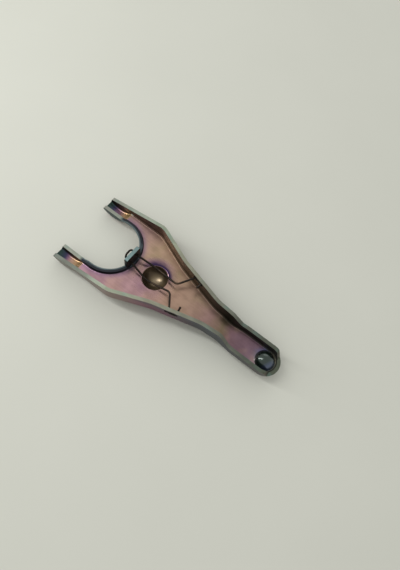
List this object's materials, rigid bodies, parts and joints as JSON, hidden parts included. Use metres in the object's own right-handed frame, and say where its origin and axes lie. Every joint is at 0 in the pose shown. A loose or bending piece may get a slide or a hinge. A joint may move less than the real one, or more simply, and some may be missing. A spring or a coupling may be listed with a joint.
{
  "type": "clutch fork",
  "caption": "Pressed steel clutch release fork with a ball socket, a push-rod cup, curved finger pads and a wire clip for the ball stud.",
  "frame": {"origin": "centre of the ball socket's mouth, on the upper face of the web", "axes": "+X along the lever from the socket towards the tail with the push-rod cup, +Z out of the channel's open side, Y across the fingers"},
  "size_m": [0.1614, 0.06, 0.0195],
  "materials": {
    "passivated_steel": "zinc plated, iridescent passivated in rose, gold and blue-green",
    "spring_wire": "oil-blackened spring wire"
  },
  "bodies": {
    "root": {"fork_body": "passivated_steel", "retaining_spring": "spring_wire"}
  },
  "joints": []
}
